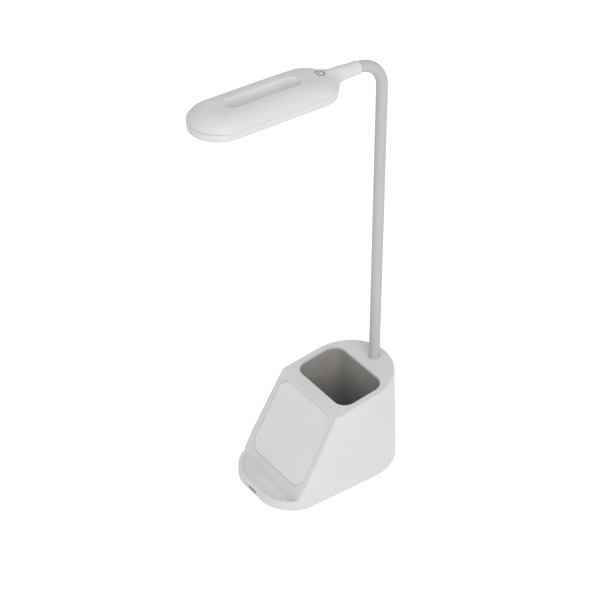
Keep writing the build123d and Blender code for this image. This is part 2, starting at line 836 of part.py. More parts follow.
# Short metal core between the two lower bends
with BuildPart() as core_link:
    with BuildSketch(Plane.XY.offset(lean_pivot + lean_reach)):
        with Locations(arm_spot):
            tube_plan(core_outer, core_bore)
    extrude(amount=sway_pivot - sway_reach - lean_pivot - lean_reach)
core_link.part.label = "core_link"
export_step(core_link.part, "parts/core_link.step")

# Part of the sleeve that bends sideways
with BuildPart() as sleeve_sway_bend:
    with BuildSketch(Plane.XY.offset(sway_pivot - sway_reach)):
        with Locations(arm_spot):
            tube_plan(sleeve_outer, sleeve_bore)
    extrude(amount=2 * sway_reach)
sleeve_sway_bend.part.label = "sleeve_sway_bend"
export_step(sleeve_sway_bend.part, "parts/sleeve_sway_bend.step")

# Part of the metal core that bends sideways
with BuildPart() as core_sway_bend:
    with BuildSketch(Plane.XY.offset(sway_pivot - sway_reach)):
        with Locations(arm_spot):
            tube_plan(core_outer, core_bore)
    extrude(amount=2 * sway_reach)
core_sway_bend.part.label = "core_sway_bend"
export_step(core_sway_bend.part, "parts/core_sway_bend.step")

# Lower length of the sleeve
with BuildPart() as sleeve_lower:
    with BuildSketch(Plane.XY.offset(sway_pivot + sway_reach)):
        with Locations(arm_spot):
            tube_plan(sleeve_outer, sleeve_bore)
    extrude(amount=bend_pivot - bend_reach - sway_pivot - sway_reach)
sleeve_lower.part.label = "sleeve_lower"
export_step(sleeve_lower.part, "parts/sleeve_lower.step")

# Lower length of the metal core
with BuildPart() as core_lower:
    with BuildSketch(Plane.XY.offset(sway_pivot + sway_reach)):
        with Locations(arm_spot):
            tube_plan(core_outer, core_bore)
    extrude(amount=bend_pivot - bend_reach - sway_pivot - sway_reach)
core_lower.part.label = "core_lower"
export_step(core_lower.part, "parts/core_lower.step")

# Part of the sleeve that bends halfway up
with BuildPart() as sleeve_middle_bend:
    with BuildSketch(Plane.XY.offset(bend_pivot - bend_reach)):
        with Locations(arm_spot):
            tube_plan(sleeve_outer, sleeve_bore)
    extrude(amount=2 * bend_reach)
sleeve_middle_bend.part.label = "sleeve_middle_bend"
export_step(sleeve_middle_bend.part, "parts/sleeve_middle_bend.step")

# Part of the metal core that bends halfway up
with BuildPart() as core_middle_bend:
    with BuildSketch(Plane.XY.offset(bend_pivot - bend_reach)):
        with Locations(arm_spot):
            tube_plan(core_outer, core_bore)
    extrude(amount=2 * bend_reach)
core_middle_bend.part.label = "core_middle_bend"
export_step(core_middle_bend.part, "parts/core_middle_bend.step")

# Upper length of the sleeve
with BuildPart() as sleeve_upper:
    with BuildSketch(Plane.XY.offset(bend_pivot + bend_reach)):
        with Locations(arm_spot):
            tube_plan(sleeve_outer, sleeve_bore)
    extrude(amount=tilt_start - bend_pivot - bend_reach)
sleeve_upper.part.label = "sleeve_upper"
export_step(sleeve_upper.part, "parts/sleeve_upper.step")

# Upper length of the metal core
with BuildPart() as core_upper:
    with BuildSketch(Plane.XY.offset(bend_pivot + bend_reach)):
        with Locations(arm_spot):
            tube_plan(core_outer, core_bore)
    extrude(amount=tilt_start - bend_pivot - bend_reach)
core_upper.part.label = "core_upper"
export_step(core_upper.part, "parts/core_upper.step")

# Part of the sleeve that bends when the head tilts
with BuildPart() as sleeve_tilt_bend:
    with BuildSketch(Plane.XY.offset(tilt_start)):
        with Locations(arm_spot):
            tube_plan(sleeve_outer, sleeve_bore)
    extrude(amount=straight_top - tilt_start)
    with BuildSketch(crook_plane(0)):
        tube_plan(sleeve_outer, sleeve_bore)
    revolve(axis=crook_axis, revolution_arc=tilt_end_angle)
sleeve_tilt_bend.part.label = "sleeve_tilt_bend"
export_step(sleeve_tilt_bend.part, "parts/sleeve_tilt_bend.step")

# Short sleeve between the two upper bends
with BuildPart() as sleeve_crook:
    with BuildSketch(crook_plane(tilt_end_angle)):
        tube_plan(sleeve_outer, sleeve_bore)
    revolve(axis=crook_axis, revolution_arc=swing_start_angle - tilt_end_angle)
sleeve_crook.part.label = "sleeve_crook"
export_step(sleeve_crook.part, "parts/sleeve_crook.step")

# Part of the sleeve that bends when the head swings
with BuildPart() as sleeve_swing_bend:
    with BuildSketch(crook_plane(swing_start_angle)):
        tube_plan(sleeve_outer, sleeve_bore)
    revolve(axis=crook_axis, revolution_arc=quarter_turn - swing_start_angle)
sleeve_swing_bend.part.label = "sleeve_swing_bend"
export_step(sleeve_swing_bend.part, "parts/sleeve_swing_bend.step")

# Part of the metal core that bends when the head tilts
with BuildPart() as core_tilt_bend:
    with BuildSketch(Plane.XY.offset(tilt_start)):
        with Locations(arm_spot):
            tube_plan(core_outer, core_bore)
    extrude(amount=straight_top - tilt_start)
    with BuildSketch(crook_plane(0)):
        tube_plan(core_outer, core_bore)
    revolve(axis=crook_axis, revolution_arc=tilt_end_angle)
core_tilt_bend.part.label = "core_tilt_bend"
export_step(core_tilt_bend.part, "parts/core_tilt_bend.step")

# Short metal core between the two upper bends
with BuildPart() as core_crook:
    with BuildSketch(crook_plane(tilt_end_angle)):
        tube_plan(core_outer, core_bore)
    revolve(axis=crook_axis, revolution_arc=swing_start_angle - tilt_end_angle)
core_crook.part.label = "core_crook"
export_step(core_crook.part, "parts/core_crook.step")

# Part of the metal core that bends when the head swings
with BuildPart() as core_swing_bend:
    with BuildSketch(crook_plane(swing_start_angle)):
        tube_plan(core_outer, core_bore)
    revolve(axis=crook_axis, revolution_arc=quarter_turn - swing_start_angle)
core_swing_bend.part.label = "core_swing_bend"
export_step(core_swing_bend.part, "parts/core_swing_bend.step")

# End of the sleeve in the collar
with BuildPart() as sleeve_end:
    with BuildSketch(neck_plane):
        tube_plan(sleeve_outer, sleeve_bore)
    extrude(amount=sleeve_deep)
sleeve_end.part.label = "sleeve_end"
export_step(sleeve_end.part, "parts/sleeve_end.step")

# End of the metal core in the head's ferrule
with BuildPart() as core_end:
    with BuildSketch(neck_plane):
        tube_plan(core_outer, core_bore)
    extrude(amount=crook_center - head_ferrule_end)
core_end.part.label = "core_end"
export_step(core_end.part, "parts/core_end.step")

# Ferrule on the upper end of the gooseneck
with BuildPart() as head_ferrule:
    with BuildSketch(neck_plane.offset(sleeve_deep)):
        tube_plan(head_ferrule_outer, ferrule_bore)
    extrude(amount=head_ferrule_length)
head_ferrule.part.label = "head_ferrule"
export_step(head_ferrule.part, "parts/head_ferrule.step")

# Outside of the collar, flared into the head
with BuildPart() as collar:
    with BuildSketch(Plane.YZ):
        with BuildLine():
            root = (head_back - collar_root, head_axis + collar_root_outer / 2)
            waist = (head_back + collar_waist, head_axis + collar_waist_outer / 2)
            end = (crook_center, head_axis + collar_end_outer / 2)
            Spline(root, waist, end, tangents=[(1, 0), (1, 0)])
            Polyline(end, (crook_center, head_axis), (head_back - collar_root, head_axis), root)
        make_face()
    revolve(axis=Axis((0, 0, head_axis), (0, 1, 0)))
    fillet(collar.edges().group_by(Axis.Y)[-1], collar_round)
    with BuildSketch(Plane.XY.offset(head_bottom - overrun)):
        head_plan(ring_inset + ring_wall - running)
    extrude(amount=diffuser_top + loose - head_bottom + overrun, mode=Mode.SUBTRACT)

# Space under the crown, which falls in a curve towards the back of the head
with BuildPart() as crown:
    with BuildSketch(Plane.YZ):
        with BuildLine():
            TangentArc((crown_start, head_top), (head_back + overrun, head_top - crown_fall), tangent=(1, 0))
            Line((head_back + overrun, head_top - crown_fall), (head_back + overrun, head_bottom - overrun))
            Line((head_back + overrun, head_bottom - overrun), (head_front - overrun, head_bottom - overrun))
            Line((head_front - overrun, head_bottom - overrun), (head_front - overrun, head_top))
            Line((head_front - overrun, head_top), (crown_start, head_top))
        make_face()
    extrude(amount=head_width, both=True)

# Outside of the upper head shell: a crowned section carried round the long plan
with BuildPart() as dome:
    with BuildSketch(Plane.XZ.offset(-head_rear_center)):
        crown_section(0)
    revolve(axis=Axis((0, head_rear_center, 0), (0, 0, 1)))
    with BuildSketch(Plane.XZ.offset(-head_front_center)):
        crown_section(0)
    revolve(axis=Axis((0, head_front_center, 0), (0, 0, 1)))
    with BuildSketch(Plane.XZ.offset(-head_rear_center)):
        crown_section(0)
        mirror(about=Plane.YZ)
    extrude(amount=head_rear_center - head_front_center)
    add(crown.part, mode=Mode.INTERSECT)

# Hollow of the upper head shell
with BuildPart() as head_hollow:
    with BuildSketch(Plane.XZ.offset(-head_rear_center)):
        crown_section(head_wall)
    revolve(axis=Axis((0, head_rear_center, 0), (0, 0, 1)))
    with BuildSketch(Plane.XZ.offset(-head_front_center)):
        crown_section(head_wall)
    revolve(axis=Axis((0, head_front_center, 0), (0, 0, 1)))
    with BuildSketch(Plane.XZ.offset(-head_rear_center)):
        crown_section(head_wall)
        mirror(about=Plane.YZ)
    extrude(amount=head_rear_center - head_front_center)
    add(crown.part.moved(Location((0, 0, -head_wall))), mode=Mode.INTERSECT)

# Power symbol: a ring with a gap and a bar, let into the top
with BuildPart() as power_symbol:
    with BuildSketch(Plane.XY.offset(head_parting)):
        with Locations((0, symbol_place)):
            Circle(symbol_radius + symbol_line / 2)
            Circle(symbol_radius - symbol_line / 2, mode=Mode.SUBTRACT)
            with Locations((0, -symbol_radius)):
                Rectangle(symbol_gap, symbol_radius, mode=Mode.SUBTRACT)
            with Locations((0, (symbol_bar - symbol_line) / 2 - symbol_radius)):
                Rectangle(symbol_line, symbol_bar)
    extrude(amount=head_top - head_parting)
    add(dome.part, mode=Mode.INTERSECT)
    add(dome.part.moved(Location((0, 0, -symbol_deep))), mode=Mode.SUBTRACT)
power_symbol.part.label = "power_symbol"
export_step(power_symbol.part, "parts/power_symbol.step")

# Upper shell of the head, with the collar and the slot's wall
with BuildPart() as head_upper_shell:
    add(dome.part)
    add(head_hollow.part, mode=Mode.SUBTRACT)
    add(collar.part)
    with BuildSketch(Plane.XY.offset(head_bottom)):
        slot_plan(slot_wall)
    extrude(amount=head_top - head_wall / 2 - head_bottom)
    with BuildSketch(Plane.XY.offset(led_board_top)):
        with Locations((0, head_middle)):
            with GridLocations(head_screw_span_x, head_screw_span_y, 2, 2):
                Circle(head_boss / 2)
    extrude(amount=head_top - head_wall - led_board_top)
    with BuildSketch(Plane.XY.offset(led_board_top)):
        with Locations((0, head_middle)):
            with GridLocations(head_screw_span_x, head_screw_span_y, 2, 2):
                Circle(tiny_screw_shank / 2 + snug)
    extrude(amount=head_screw_length - led_board_thick, mode=Mode.SUBTRACT)
    with BuildSketch(Plane.XY.offset(head_bottom)):
        slot_plan(0)
    extrude(amount=head_top - head_bottom, mode=Mode.SUBTRACT)
    top_face = head_upper_shell.faces().filter_by(Plane.XY).sort_by(Axis.Z)[-1]
    fillet(top_face.inner_wires()[0].edges(), slot_round)
    with BuildSketch(neck_plane):
        Circle(sleeve_outer / 2 + snug)
    extrude(amount=sleeve_deep, mode=Mode.SUBTRACT)
    with BuildSketch(neck_plane.offset(sleeve_deep)):
        Circle(head_ferrule_outer / 2 + snug)
    extrude(amount=head_ferrule_length, mode=Mode.SUBTRACT)
    with BuildSketch(neck_plane.offset(crook_center - head_ferrule_end)):
        Circle(wire_hole / 2)
    extrude(amount=head_ferrule_end - head_back + collar_root + overrun / 2, mode=Mode.SUBTRACT)
    with BuildSketch(Plane.XY.offset(grub_bottom - overrun)):
        with Locations((0, grub_place)):
            Circle(grub_outer / 2 + snug)
    extrude(amount=grub_length + overrun + running, mode=Mode.SUBTRACT)
    add(power_symbol.part, mode=Mode.SUBTRACT)
head_upper_shell.part.label = "head_upper_shell"
export_step(head_upper_shell.part, "parts/head_upper_shell.step")

# Lower ring of the head, open at the back for the collar
with BuildPart() as head_lower_ring:
    with BuildSketch(Plane.XY.offset(head_bottom)):
        head_plan(ring_inset)
    extrude(amount=head_parting - head_bottom)
    fillet(head_lower_ring.edges().group_by(Axis.Z)[0], ring_round)
    with BuildSketch(Plane.XY.offset(head_bottom)):
        head_plan(ring_inset + ring_wall + ring_lip)
    extrude(amount=ring_lip_thick, mode=Mode.SUBTRACT)
    with BuildSketch(Plane.XY.offset(head_bottom + ring_lip_thick)):
        head_plan(ring_inset + ring_wall)
    extrude(amount=head_parting - head_bottom, mode=Mode.SUBTRACT)
    with BuildSketch(neck_plane.offset(crook_center - head_back - overrun)):
        Circle(collar_root_outer / 2 + ring_gap)
    extrude(amount=head_wall + ring_wall + ring_lip + 2 * overrun, mode=Mode.SUBTRACT)
head_lower_ring.part.label = "head_lower_ring"
export_step(head_lower_ring.part, "parts/head_lower_ring.step")

# Milky diffuser under the head
with BuildPart() as head_diffuser:
    with BuildSketch(Plane.XY.offset(head_bottom + ring_lip_thick)):
        head_plan(ring_inset + ring_wall + diffuser_gap)
        slot_plan(slot_wall + diffuser_gap, Mode.SUBTRACT)
    extrude(amount=diffuser_thick)
head_diffuser.part.label = "head_diffuser"
export_step(head_diffuser.part, "parts/head_diffuser.step")

# Board that carries the lamp's light-emitting diodes
with BuildPart() as led_board:
    with BuildSketch(Plane.XY.offset(led_board_bottom)):
        head_plan(led_board_inset)
        slot_plan(slot_wall + diffuser_gap, Mode.SUBTRACT)
        with Locations((0, led_board_back + head_width / 2)):
            Rectangle(head_width, head_width, mode=Mode.SUBTRACT)
        with Locations((0, head_middle)):
            with GridLocations(head_screw_span_x, head_screw_span_y, 2, 2):
                Circle(tiny_screw_shank / 2 + snug, mode=Mode.SUBTRACT)
    extrude(amount=led_board_thick)
led_board.part.label = "led_board"
export_step(led_board.part, "parts/led_board.step")

# Two rows of light-emitting diodes
with BuildPart() as lamp_leds:
    with BuildSketch(Plane.XY.offset(led_board_bottom)):
        with Locations((0, head_middle)):
            with GridLocations(led_row_span, led_pitch, 2, led_count):
                Rectangle(led_wide, led_long)
    extrude(amount=-led_thick)
lamp_leds.part.label = "lamp_leds"
export_step(lamp_leds.part, "parts/lamp_leds.step")

# Driver chips on top of the board
with BuildPart() as lamp_driver:
    with BuildSketch(Plane.XY.offset(led_board_top)):
        with Locations((0, driver_place)):
            Rectangle(driver_side, driver_side)
    extrude(amount=driver_thick)
lamp_driver.part.label = "lamp_driver"
export_step(lamp_driver.part, "parts/lamp_driver.step")

# Four screws that hold the board in the upper shell
with BuildPart() as head_screws:
    with BuildSketch(Plane.XY.offset(led_board_bottom)):
        with Locations((0, head_middle)):
            with GridLocations(head_screw_span_x, head_screw_span_y, 2, 2):
                Circle(tiny_screw_head / 2)
    extrude(amount=-tiny_screw_head_thick)
    with BuildSketch(Plane.XY.offset(led_board_bottom)):
        with Locations((0, head_middle)):
            with GridLocations(head_screw_span_x, head_screw_span_y, 2, 2):
                Circle(tiny_screw_shank / 2)
    extrude(amount=head_screw_length)
head_screws.part.label = "head_screws"
export_step(head_screws.part, "parts/head_screws.step")

# Electrode of the touch switch, glued under the symbol
with BuildPart() as touch_pad:
    with BuildSketch(Plane.XY.offset(led_board_top)):
        with Locations((0, symbol_place)):
            Circle(touch_pad_outer / 2)
    extrude(amount=head_top - led_board_top)
    add(crown.part.moved(Location((0, 0, -head_wall))), mode=Mode.INTERSECT)
    add(crown.part.moved(Location((0, 0, -head_wall - touch_pad_thick))), mode=Mode.SUBTRACT)
touch_pad.part.label = "touch_pad"
export_step(touch_pad.part, "parts/touch_pad.step")

# Contact between the board and the electrode
with BuildPart() as touch_contact:
    with BuildSketch(Plane.XY.offset(led_board_top)):
        with Locations((0, symbol_place)):
            Circle(touch_post_outer / 2)
    extrude(amount=head_top - led_board_top)
    add(crown.part.moved(Location((0, 0, -head_wall - touch_pad_thick))), mode=Mode.INTERSECT)
touch_contact.part.label = "touch_contact"
export_step(touch_contact.part, "parts/touch_contact.step")

# Grub screw that holds the ferrule in the collar
with BuildPart() as neck_grub_screw:
    with BuildSketch(Plane.XY.offset(grub_bottom)):
        with Locations((0, grub_place)):
            Circle(grub_outer / 2)
    extrude(amount=grub_length)
neck_grub_screw.part.label = "neck_grub_screw"
export_step(neck_grub_screw.part, "parts/neck_grub_screw.step")
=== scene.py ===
# %% [markdown]
# # A small white desk lamp on a charging base with a pen cup
# The lamp is four things in one: a base shell with a sloping charging face and a ledge,
# a pen cup let into its top, a gooseneck arm behind the cup, and a long rounded lamp head
# with a slot right through it. The model of its solids is loaded first and never changed.
# Solids whose surface is right keep it and get a finish. Those that a smoother or softer
# surface would serve better are hidden, and a new surface takes their place.

import json
from math import cos, pi, radians, sin

import bpy
import numpy as np
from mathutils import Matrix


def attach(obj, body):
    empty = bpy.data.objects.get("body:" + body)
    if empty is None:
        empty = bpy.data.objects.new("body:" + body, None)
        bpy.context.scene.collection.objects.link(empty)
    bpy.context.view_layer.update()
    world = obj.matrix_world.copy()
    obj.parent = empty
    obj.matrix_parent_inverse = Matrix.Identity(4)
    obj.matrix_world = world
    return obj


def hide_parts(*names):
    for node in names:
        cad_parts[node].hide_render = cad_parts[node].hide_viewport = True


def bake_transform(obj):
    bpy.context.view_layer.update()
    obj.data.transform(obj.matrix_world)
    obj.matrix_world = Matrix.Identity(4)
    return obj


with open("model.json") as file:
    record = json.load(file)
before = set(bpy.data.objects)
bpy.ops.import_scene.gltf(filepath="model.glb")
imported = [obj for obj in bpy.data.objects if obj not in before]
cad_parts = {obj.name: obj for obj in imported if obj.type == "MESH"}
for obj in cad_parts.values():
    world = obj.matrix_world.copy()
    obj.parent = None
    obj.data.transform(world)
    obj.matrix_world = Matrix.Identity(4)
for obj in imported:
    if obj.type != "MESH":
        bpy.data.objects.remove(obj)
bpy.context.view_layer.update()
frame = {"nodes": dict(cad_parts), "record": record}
nodes = frame["nodes"]

# %% [markdown]
# ## The camera
# The view was worked out from the base's straight edges and the round ends of its plan: a long
# lens from the front right, looking down by 36 degrees.

# %% Camera
camera_data = bpy.data.cameras.new("studio_camera")
camera_data.lens = 115.64
camera_data.sensor_width = 36.0
camera = bpy.data.objects.new("studio_camera", camera_data)
camera.location = (0.7606, -0.5600, 0.8239)
camera.rotation_euler = (radians(53.68), 0, radians(54.43))
bpy.context.scene.collection.objects.link(camera)
bpy.context.scene.camera = camera
bpy.context.scene.view_settings.view_transform = "Standard"
print("camera is", round(camera.location.length, 3), "m from the origin")

# %% [markdown]
# ## Helpers for finishes
# A material is a small graph of nodes. One function turns a hex colour, as it is seen on a
# screen, into the linear light that the renderer works in. Another adds a node, sets its
# sockets and links them, so that each finish below reads as a short list.

# %% Colour and node helpers
def colour(hex_code):
    """Linear RGBA of an sRGB hex colour. A channel c up to 0.04045 is divided by 12.92,
    and above that it is ((c + 0.055) / 1.055) to the power of 2.4."""
    srgb = np.array([int(hex_code[i:i + 2], 16) for i in (1, 3, 5)]) / 255
    linear = np.where(srgb <= 0.04045, srgb / 12.92, ((srgb + 0.055) / 1.055) ** 2.4)
    return (*linear.tolist(), 1.0)


def add_node(material, kind, links=(), **settings):
    """A new node of a kind. Settings go to its properties or to its sockets, and each link is
    (socket, other node, that node's output), with a socket given by name or by number."""
    node = material.node_tree.nodes.new(kind)
    for key, value in settings.items():
        socket = key.replace("_", " ")
        if key in node.bl_rna.properties:
            setattr(node, key, value)
        elif socket in node.inputs:
            node.inputs[socket].default_value = value
        else:
            raise KeyError(f"{kind} has no {key}")
    for socket, other, output in links:
        material.node_tree.links.new(other.outputs[output], node.inputs[socket])
    return node


def new_finish(name, **settings):
    """A material with one Principled shader whose sockets are set.
    It comes back with its shader and with the coordinates that the patterns link to."""
    material = bpy.data.materials.new(name)
    material.use_nodes = True
    material.node_tree.nodes.clear()
    place = add_node(material, "ShaderNodeTexCoord")
    shader = add_node(material, "ShaderNodeBsdfPrincipled")
    for key, value in settings.items():
        shader.inputs[key.replace("_", " ")].default_value = value
    add_node(material, "ShaderNodeOutputMaterial", [("Surface", shader, "BSDF")])
    return material, shader, place


print("white is", colour("#FFFFFF"))

# %% [markdown]
# Two patterns serve every finish. One is the fine grain that a mould or a tool leaves, which
# breaks up the highlights. The other is a faint cloudy change of colour, because no moulded or
# handled surface is perfectly even. Both have their size in millimetres.

# %% Grain and mottle
mm_per_metre = 1000


def grain(material, shader, place, size_mm, height_mm, roughness, spread):
    """Fine grain: one noise, with cells of size_mm, drives a bump of height_mm
    and moves the roughness by up to spread either way."""
    noise = add_node(material, "ShaderNodeTexNoise", [("Vector", place, "Object")],
                     Scale=mm_per_metre / size_mm, Detail=3.0, Roughness=0.6)
    bump = add_node(material, "ShaderNodeBump", [("Height", noise, "Fac")],
                    Distance=height_mm / mm_per_metre, Strength=1.0)
    rough = add_node(material, "ShaderNodeMapRange", [("Value", noise, "Fac")],
                     From_Min=0.3, From_Max=0.7, To_Min=roughness - spread, To_Max=roughness + spread)
    material.node_tree.links.new(bump.outputs["Normal"], shader.inputs["Normal"])
    material.node_tree.links.new(rough.outputs["Result"], shader.inputs["Roughness"])


def mottle(material, shader, place, size_mm, low, high):
    """Faint clouds of size_mm, whose colour goes from low to high over the middle of the noise."""
    clouds = add_node(material, "ShaderNodeTexNoise", [("Vector", place, "Object")],
                      Scale=mm_per_metre / size_mm, Detail=4.0, Roughness=0.55)
    ramp = add_node(material, "ShaderNodeValToRGB", [("Fac", clouds, "Fac")])
    for stop, position, tone in zip(ramp.color_ramp.elements, (0.35, 0.65), (low, high)):
        stop.position = position
        stop.color = colour(tone)
    material.node_tree.links.new(ramp.outputs["Color"], shader.inputs["Base Color"])


print("two patterns for the finishes")

# %% [markdown]
# ## Finishes
# The shells are ABS, injection moulded in a spark-eroded mould. That gives a fine even grain
# and a soft, wide highlight. The grain of such a mould is about 0.1 mm, too fine to show from
# here, so it is drawn at 0.35 mm and kept very shallow. The grains of the other finishes are
# drawn coarser than they are for the same reason. The panel and the polypropylene cup are
# duller than the shells. The cup's warm grey is painted shade: it stands for the shade deep
# inside the white cup.

# %% Moulded plastics
abs_white, shader, place = new_finish("moulded_abs_white", IOR=1.53, Specular_IOR_Level=0.45)
grain(abs_white, shader, place, size_mm=0.35, height_mm=0.006, roughness=0.40, spread=0.05)
mottle(abs_white, shader, place, size_mm=45, low="#D9DADA", high="#DEDFDF")

panel_white, shader, place = new_finish("moulded_abs_panel", IOR=1.53, Specular_IOR_Level=0.4)
grain(panel_white, shader, place, size_mm=0.5, height_mm=0.010, roughness=0.52, spread=0.05)
mottle(panel_white, shader, place, size_mm=30, low="#E2E3E3", high="#E6E7E7")

# Painted shade: the cup's plastic is white, and this warm grey stands for the shade inside it.
cup_grey, shader, place = new_finish("pp_grey_painted_shade", IOR=1.49, Specular_IOR_Level=0.35)
grain(cup_grey, shader, place, size_mm=0.5, height_mm=0.012, roughness=0.62, spread=0.06)
mottle(cup_grey, shader, place, size_mm=20, low="#A09D9A", high="#A8A5A2")
print("three moulded plastics")

# %% [markdown]
# The gooseneck's skin is silicone rubber, pulled over the metal core as a tube. It is a shade
# duller than the shells and has almost no mirror reflection, but a soft sheen at its edges.
# The pad under the base is moulded rubber, dark and matt. The diffuser is opal acrylic, which
# scatters light inside and so looks milky. The status light shines through smoked acrylic,
# which is nearly black when it is off. The mark of the touch switch is flat grey ink.

# %% Silicone, rubber, acrylics and ink
silicone_white, shader, place = new_finish("silicone_skin_white", IOR=1.41, Specular_IOR_Level=0.35,
                                           Sheen_Weight=0.08, Sheen_Roughness=0.4)
grain(silicone_white, shader, place, size_mm=0.6, height_mm=0.010, roughness=0.50, spread=0.06)
mottle(silicone_white, shader, place, size_mm=40, low="#BFBFBE", high="#C3C3C2")

pad_rubber, shader, place = new_finish("moulded_rubber_dark", IOR=1.5, Specular_IOR_Level=0.3)
grain(pad_rubber, shader, place, size_mm=0.8, height_mm=0.03, roughness=0.75, spread=0.08)
mottle(pad_rubber, shader, place, size_mm=10, low="#2B2B2B", high="#343434")

diffuser_milky, shader, place = new_finish("opal_acrylic", IOR=1.49, Specular_IOR_Level=0.5,
                                           Subsurface_Weight=0.35, Subsurface_Scale=0.004)
grain(diffuser_milky, shader, place, size_mm=0.8, height_mm=0.004, roughness=0.30, spread=0.04)
mottle(diffuser_milky, shader, place, size_mm=40, low="#EFEFEC", high="#F3F3F0")

light_pipe, shader, place = new_finish("smoked_acrylic", IOR=1.49, Specular_IOR_Level=0.3)
grain(light_pipe, shader, place, size_mm=0.6, height_mm=0.004, roughness=0.34, spread=0.04)
mottle(light_pipe, shader, place, size_mm=3, low="#1C2940", high="#24324C")

symbol_grey, shader, place = new_finish("printed_ink_grey", IOR=1.5, Specular_IOR_Level=0.3)
grain(symbol_grey, shader, place, size_mm=0.3, height_mm=0.004, roughness=0.55, spread=0.05)
mottle(symbol_grey, shader, place, size_mm=2, low="#5C5C5C", high="#666666")
print("five soft, clear or inked finishes")

# %% [markdown]
# Metals keep the shader's own edge tint. The steel of the core and the screws and the
# aluminium of the ferrules are drawn or turned, which leaves fine marks and a bright
# highlight. The ballast is a rough casting. The coil is lacquered copper wire, wound flat, and
# the touch pad is copper foil with the same sheen.

# %% Metals of the inside
steel, shader, place = new_finish("turned_steel", Metallic=1.0)
grain(steel, shader, place, size_mm=0.4, height_mm=0.004, roughness=0.32, spread=0.08)
mottle(steel, shader, place, size_mm=4, low="#9A9A9C", high="#B4B4B5")

aluminium, shader, place = new_finish("turned_aluminium", Metallic=1.0)
grain(aluminium, shader, place, size_mm=0.4, height_mm=0.004, roughness=0.34, spread=0.06)
mottle(aluminium, shader, place, size_mm=4, low="#BFC0C2", high="#D2D3D4")

cast_iron, shader, place = new_finish("cast_iron_ballast", Metallic=0.85)
grain(cast_iron, shader, place, size_mm=0.9, height_mm=0.08, roughness=0.68, spread=0.10)
mottle(cast_iron, shader, place, size_mm=5, low="#55565A", high="#6A6B6E")

copper, shader, place = new_finish("lacquered_copper", Metallic=1.0, Coat_Weight=0.4, Coat_Roughness=0.15)
grain(copper, shader, place, size_mm=0.7, height_mm=0.05, roughness=0.30, spread=0.06)
mottle(copper, shader, place, size_mm=3, low="#B4663C", high="#C77B4C")
print("four metals")

# %% [markdown]
# The coil lies on a sheet of pressed ferrite, dark and a little shiny. The circuit boards wear
# a glossy solder mask, green in the base and white behind the lamp's LEDs. Their components and
# the coil's carrier are black moulded resin, and each LED is a drop of yellow phosphor in
# clear resin.

# %% Ferrite, boards and components of the inside
ferrite, shader, place = new_finish("pressed_ferrite", IOR=2.0, Specular_IOR_Level=0.5)
grain(ferrite, shader, place, size_mm=0.5, height_mm=0.02, roughness=0.5, spread=0.06)
mottle(ferrite, shader, place, size_mm=4, low="#2E2E31", high="#3A3A3D")

board_green, shader, place = new_finish("solder_mask_green", IOR=1.55, Coat_Weight=0.5, Coat_Roughness=0.2)
grain(board_green, shader, place, size_mm=0.8, height_mm=0.01, roughness=0.35, spread=0.05)
mottle(board_green, shader, place, size_mm=6, low="#1C5A38", high="#226A43")

board_white, shader, place = new_finish("solder_mask_white", IOR=1.55, Coat_Weight=0.5, Coat_Roughness=0.2)
grain(board_white, shader, place, size_mm=0.8, height_mm=0.01, roughness=0.35, spread=0.05)
mottle(board_white, shader, place, size_mm=6, low="#E8E8E4", high="#EEEEEA")

dark_plastic, shader, place = new_finish("moulded_black_resin", IOR=1.55, Specular_IOR_Level=0.4)
grain(dark_plastic, shader, place, size_mm=0.4, height_mm=0.01, roughness=0.55, spread=0.06)
mottle(dark_plastic, shader, place, size_mm=4, low="#232324", high="#2B2B2C")

led_package, shader, place = new_finish("phosphor_resin", IOR=1.5, Subsurface_Weight=0.2,
                                        Subsurface_Scale=0.001)
grain(led_package, shader, place, size_mm=0.4, height_mm=0.006, roughness=0.4, spread=0.05)
mottle(led_package, shader, place, size_mm=1.5, low="#EBD98A", high="#F3E6A4")
print("five finishes of boards and components")

# %% [markdown]
# ## Finishes on the solids
# The record names a slot for each solid, so one table from slot to finish dresses them all.

# %% Dress the solids
finish_of_slot = {
    "shell_white": abs_white, "panel_white": panel_white, "cup_grey": cup_grey,
    "silicone_white": silicone_white, "pad_rubber": pad_rubber, "diffuser_milky": diffuser_milky,
    "light_pipe": light_pipe, "symbol_grey": symbol_grey, "dark_plastic": dark_plastic,
    "board_green": board_green, "board_white": board_white, "led_package": led_package,
    "steel": steel, "ballast_steel": cast_iron, "aluminium": aluminium, "copper": copper,
    "ferrite": ferrite,
}
for part in frame["record"]["subparts"]:
    mesh = nodes[part["node"]].data
    mesh.materials.clear()
    mesh.materials.append(finish_of_slot[part["material_slot"]])

# %% [markdown]
# ## Helper for new surfaces
# A surface here is a grid of points worked out with numpy. Rows run along one parameter and
# columns along the other, and quads join neighbours. A closed direction joins its last row or
# column to its first, and one face can close an end row. Edges sharper than 40 degrees stay
# sharp, and all others are shaded smooth.

# %% Grid to mesh
crease_angle = radians(40)


